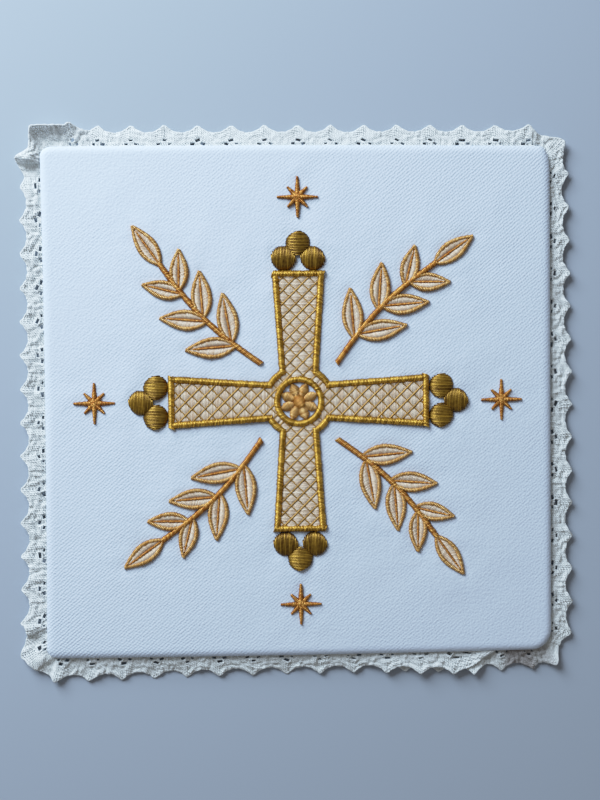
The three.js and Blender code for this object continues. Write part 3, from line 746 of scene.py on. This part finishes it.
old_gold = thread(
    "old_gold_thread", (0.30, 0.13, 0.006), (1.0, 0.59, 0.09), 0.36, gloss=0.62, sunk_shade=(0.18, 0.05, 0.002),
)
outline = []
for n, run in enumerate(cross_lines()):
    outline += satin(run, SATIN_WIDE, END_HIGH if n % 4 == 2 else SIDE_HIGH)
outline += satin(ring_line * RING_RADIUS, SATIN_WIDE, RING_HIGH)
cross_outline = sewn("cross_outline", outline, SATIN_THREAD, old_gold)

GROUND_PITCH = 0.42
GROUND_THREAD = 0.23
GROUND_LOW, GROUND_PILLOW = 0.1, 0.34
NET_PITCH = 2.9
NET_THREAD = 0.22
NET_HIGH, NET_OVER, NET_BEAT = 0.40, 0.06, 0.05
NET_SPAN = ARM_LONG * 1.5


def in_cross(x, y, margin):
    long, short = max(abs(x), abs(y)), min(abs(x), abs(y))
    in_arm = long < ARM_LONG - margin and short < ARM_HALF + ARM_FLARE * long - margin
    middle = math.hypot(x, y)
    return (in_arm or middle < MIDDLE_RADIUS - margin) and middle > RING_RADIUS + margin


def kept_runs(line, margin):
    """The stretches of a line of points that lie in the cross"""
    runs, now = [], []
    for x, y in line:
        if in_cross(x, y, margin):
            now.append((x, y))
        elif now:
            runs.append(now)
            now = []
    return [run for run in [*runs, now] if len(run) > 3]


def between_net(x, y):
    """Nought under a thread of the lattice, up to one in the middle of a diamond"""
    slants = ((x - y) / math.sqrt(2), (x + y) / math.sqrt(2))
    apart = [abs((u + NET_SPAN) / NET_PITCH % 1 - 0.5) for u in slants]
    return min(1, (0.5 - max(apart)) * NET_PITCH / 0.8)


# The ground's stitches lie across each arm and meet in a mitre. They swell between the lattice's threads.
ground = []
for offset in np.arange(-ARM_LONG, ARM_LONG, GROUND_PITCH):
    reach = np.arange(-12, 12, 0.25)
    reach = reach[np.abs(reach) <= abs(offset) + 0.1]
    for line in ([(offset, at) for at in reach], [(at, offset) for at in reach]):
        for run in kept_runs(line, 0.5):
            kept = [*run[:-1:2], run[-1]]
            wobble = 0.05 * jitter.uniform(-1, 1)
            lifts = [GROUND_LOW + GROUND_PILLOW * between_net(x, y) + wobble for x, y in kept]
            lifts[0] = -GROUND_LOW
            lifts[-1] = -GROUND_LOW
            ground.append([(x, y, FACE + lift) for (x, y), lift in zip(kept, lifts)])
net = []
for slant in (-1, 1):
    for offset in np.arange(-NET_SPAN, NET_SPAN, NET_PITCH):
        steps_along = np.arange(-NET_SPAN, NET_SPAN, 0.35)
        line = [((t + offset) / math.sqrt(2), slant * (t - offset) / math.sqrt(2)) for t in steps_along]
        for run in kept_runs(line, 0.6):
            strand = []
            for x, y in run:
                across_at = (x * slant * -1 + y) / math.sqrt(2)
                beat = math.cos(2 * math.pi * across_at / NET_PITCH)
                strand.append((x, y, FACE + NET_HIGH + NET_OVER * slant + NET_BEAT * beat))
            net.append(strand)
cream = thread("cream_thread", (0.80, 0.58, 0.38), (1.0, 0.88, 0.69), 0.5, gloss=0.15)
net_gold = thread("net_thread", (0.30, 0.15, 0.02), (0.62, 0.34, 0.07), 0.42, gloss=0.35)
cross_ground = sewn("cross_ground", ground, GROUND_THREAD, cream, sides_each=4)
cross_net = sewn("cross_net", net, NET_THREAD, net_gold)
for piece in (cross_outline, cross_ground, cross_net):
    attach(piece, "root")
    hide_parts("cross")

# The rosette in the ring. Eight small petals in satin stitch of pale gold thread, sewn round a knot of
# amber thread that is laid across the middle.
PETAL_COUNT = 8
PETAL_FROM, PETAL_TO = 2.1, 5.7
PETAL_WIDE, PETAL_HIGH = 3.2, 0.75
KNOT_RADIUS, KNOT_HIGH, KNOT_TURN = 2.1, 1.2, 0.6


def petal_width(share):
    return 0.25 + 0.75 * math.sin(math.pi * min(1, share * 0.85 + 0.12)) ** 0.8


petals = []
for n in range(PETAL_COUNT):
    angle = 2 * math.pi * (n + 0.5) / PETAL_COUNT
    run = turned([(PETAL_FROM, 0), (PETAL_TO, 0)], angle)
    petals += satin(run, PETAL_WIDE, PETAL_HIGH, LOW_ARCH, lean=0.0, width_at=petal_width)
pale_gold = thread(
    "pale_gold_thread", (0.60, 0.28, 0.05), (0.98, 0.66, 0.26), 0.4, gloss=0.5, sunk_shade=(0.38, 0.13, 0.012),
)
amber = thread(
    "amber_thread", (0.46, 0.13, 0.012), (1.0, 0.56, 0.13), 0.4, gloss=0.55, sunk_shade=(0.28, 0.06, 0.003),
)
rosette_petals = sewn("rosette_petals", petals, SATIN_THREAD, pale_gold, sides_each=4)


def knot(middle, radius, high, turn):
    """A round padded spot: strands laid across a circle, higher towards its middle"""
    strands = []
    for offset in np.arange(-radius + 0.18, radius, SATIN_PITCH):
        half = math.sqrt(max(radius ** 2 - offset ** 2, 0.01)) * (1 + 0.03 * jitter.uniform(-1, 1))
        top = high * (0.35 + 0.65 * half / radius)
        line = turned([(half * a, offset + 0.15 * a) for a, _ in ARCH], turn) + middle
        heights = [FACE - SEWN_DOWN + (top + SEWN_DOWN) * b for _, b in ARCH]
        strands.append([(x, y, z) for (x, y), z in zip(line, heights)])
    return strands


rosette_middle = knot((0, 0), KNOT_RADIUS, KNOT_HIGH, KNOT_TURN)
rosette_knot = sewn("rosette_knot", rosette_middle, SATIN_THREAD, amber)
for piece, slot in ((rosette_petals, "pale_gold_thread"), (rosette_knot, "amber_thread")):
    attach(piece, "root")
    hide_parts("rosette")

# The buds at the arms' ends. Three round spots at each, of dark bronze gold thread in satin stitch over a
# padding that lifts their middles.
BUD_HIGH = 1.3
QUARTERS = ["right", "top", "left", "bottom"]
bronze = thread(
    "bronze_thread", (0.12, 0.045, 0.004), (0.62, 0.35, 0.045), 0.38, gloss=0.6, sunk_shade=(0.08, 0.02, 0.001),
)
for arm, way in enumerate(QUARTERS):
    quarter = arm * math.pi / 2
    strands = []
    for out, aside in BUD_SPOTS:
        middle = turned([(ARM_LONG + out, aside)], quarter)[0]
        strands += knot(middle, BUD_RADIUS, BUD_HIGH, quarter + (math.pi / 2 if aside == 0 else 0))
    buds = sewn(f"buds_{way}_satin", strands, SATIN_THREAD, bronze)
    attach(buds, "root")
    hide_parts(f"buds_{way}")

# The sprays. Each has a bowed stem in amber satin stitch and seven leaves, filled with slanting cream
# stitches, with a vein of amber and an edge of pale gold satin sewn over the fill's ends.
DIAGONALS = ["top_right", "top_left", "bottom_left", "bottom_right"]
STEM_WIDE, STEM_HIGH = 1.6, 0.85
VEIN_WIDE, VEIN_HIGH, VEIN_PITCH = 0.55, 0.55, 0.42
LEAF_EDGE_WIDE, LEAF_EDGE_HIGH = 1.15, 0.7
LEAF_PITCH = 0.4
LEAF_THREAD = 0.22
LEAF_HEIGHTS = (0.15, 0.42, 0.3)


def leaf_edge_width(share):
    return 0.75 + 0.25 * math.sin(math.pi * share)


def leaf_fill(leaf, quarter):
    """Slanting stitches from the vein out to each edge"""
    _, _, long, wide = leaf
    strands = []
    for hand in (-1, 1):
        for at in np.arange(0.6, long - 1.2, LEAF_PITCH):
            reach = leaf_half(min((at + 1.0) / long, 0.995), wide) - 0.2
            if reach < 0.3:
                continue
            line = [(at, hand * 0.05), (at + 0.5, hand * reach * 0.5), (at + 1.1, hand * reach)]
            flat = on_leaf(line, leaf, quarter)
            wobble = 0.05 * jitter.uniform(-1, 1)
            strands.append([(x, y, FACE + z + wobble) for (x, y), z in zip(flat, LEAF_HEIGHTS)])
    return strands


for arm, way in enumerate(DIAGONALS):
    quarter = arm * math.pi / 2
    stem = np.array([stem_point(r) for r in np.linspace(STEM_FROM, STEM_TO, 24)])
    stem_satin = satin(turned(stem, quarter + math.pi / 4), STEM_WIDE, STEM_HIGH)
    veins, fills, edges = [], [], []
    for leaf in LEAVES:
        _, _, long, wide = leaf
        vein = on_leaf([(t * long, 0) for t in np.linspace(0.02, 0.86, 9)], leaf, quarter)
        veins += satin(vein, VEIN_WIDE, VEIN_HIGH, LOW_ARCH, lean=0.6, pitch=VEIN_PITCH)
        fills += leaf_fill(leaf, quarter)
        for hand in (-1, 1):
            edge = on_leaf(leaf_side(long, wide - 0.5, hand), leaf, quarter)
            edges += satin(edge, LEAF_EDGE_WIDE, LEAF_EDGE_HIGH, LOW_ARCH, width_at=leaf_edge_width)
    stems = sewn(f"spray_{way}_stem", stem_satin + veins, SATIN_THREAD, amber, sides_each=4)
    fill = sewn(f"spray_{way}_fill", fills, LEAF_THREAD, cream, sides_each=4)
    edge = sewn(f"spray_{way}_edges", edges, SATIN_THREAD, pale_gold, sides_each=4)
    for piece, slot in ((stems, "amber_thread"), (fill, "pale_gold_thread"), (edge, "pale_gold_thread")):
        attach(piece, "root")
        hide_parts(f"spray_{way}")

# The stars. Eight rays in amber satin stitch, four long and four short, that taper away from a small round
# knot of the same thread.
RAY_WIDE, RAY_HIGH = 1.7, 0.75
STAR_KNOT_RADIUS, STAR_KNOT_HIGH = 1.1, 0.95


def ray_width(share):
    return 1 - 0.72 * share


for arm, way in enumerate(QUARTERS):
    quarter = arm * math.pi / 2
    middle = turned([(STAR_AT, 0)], quarter)[0]
    strands = []
    for n in range(8):
        reach = STAR_POINTS[n % 2]
        ray = turned([(0.5, 0), (reach, 0)], quarter + n * math.pi / 4) + middle
        strands += satin(ray, RAY_WIDE, RAY_HIGH, LOW_ARCH, width_at=ray_width)
    strands += knot(middle, STAR_KNOT_RADIUS, STAR_KNOT_HIGH, quarter)
    star = sewn(f"star_{way}_satin", strands, SATIN_THREAD, amber, sides_each=4)
    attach(star, "root")
    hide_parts(f"star_{way}")

# The table, the light and the camera. A plain pale blue-grey floor, one large soft light like a window, low
# at the upper left, and a dim even sky. The camera stands nearly straight above the panel.
table = bmesh.new()
bmesh.ops.create_grid(table, x_segments=1, y_segments=1, size=3)
table_mesh = bpy.data.meshes.new("table")
table.to_mesh(table_mesh)
table.free()
table_paint = bpy.data.materials.new("table_paint")
table_paint.use_nodes = True
table_shader = table_paint.node_tree.nodes["Principled BSDF"]
table_shader.inputs["Base Color"].default_value = (0.45, 0.50, 0.56, 1)
table_shader.inputs["Roughness"].default_value = 0.9
floor = shown("floor", table_mesh, table_paint)

LIGHT_TURN = math.radians(128)
LIGHT_RISE = math.radians(31)
LIGHT_AWAY = 0.68
window = bpy.data.lights.new("window", "AREA")
window.shape = "SQUARE"
window.size = 0.4
window.energy = 8.3
window.color = (0.65, 0.79, 0.97)
window_holder = bpy.data.objects.new("window", window)
toward = Vector((
    math.cos(LIGHT_TURN) * math.cos(LIGHT_RISE),
    math.sin(LIGHT_TURN) * math.cos(LIGHT_RISE),
    math.sin(LIGHT_RISE),
))
window_holder.location = toward * LIGHT_AWAY
window_holder.rotation_euler = toward.to_track_quat("Z", "Y").to_euler()
bpy.context.scene.collection.objects.link(window_holder)
sky = bpy.data.worlds.new("sky")
sky.use_nodes = True
sky.node_tree.nodes["Background"].inputs["Color"].default_value = (0.94, 0.94, 0.98, 1)
sky.node_tree.nodes["Background"].inputs["Strength"].default_value = 0.18
bpy.context.scene.world = sky

# The picture's soft shoulder. Each pair says how bright a light is and how bright it shows.
BRIGHTEST = 1.7
SHOULDER = [(0.35, 0.35), (0.51, 0.50), (0.63, 0.60), (0.79, 0.70), (0.99, 0.80), (1.27, 0.90)]
view = bpy.context.scene.view_settings
view.view_transform = "Standard"
view.use_curve_mapping = True
view.curve_mapping.white_level = (BRIGHTEST, BRIGHTEST, BRIGHTEST)
for bright, shown_as in SHOULDER:
    view.curve_mapping.curves[3].points.new(bright / BRIGHTEST, shown_as)
view.curve_mapping.update()

EYE = np.array([-12.779, 9.085, 349.551])
EYE_RIGHT = Vector((0.999237, -0.009110, 0.037979))
EYE_DOWN = Vector((-0.010051, -0.999646, 0.024647))
EYE_FORWARD = Vector((0.037741, -0.025010, -0.998975))
FOCAL_PIXELS = 1100
PICTURE_TALL = 800
lens = bpy.data.cameras.new("camera")
lens.sensor_width = 36
lens.lens = FOCAL_PIXELS / PICTURE_TALL * lens.sensor_width
lens.clip_start = 0.01
camera = bpy.data.objects.new("camera", lens)
turn = Matrix((EYE_RIGHT, -EYE_DOWN, -EYE_FORWARD)).transposed().to_4x4()
camera.matrix_world = Matrix.Translation(Vector(placed(EYE))) @ turn
bpy.context.scene.collection.objects.link(camera)
bpy.context.scene.camera = camera

bpy.context.view_layer.update()
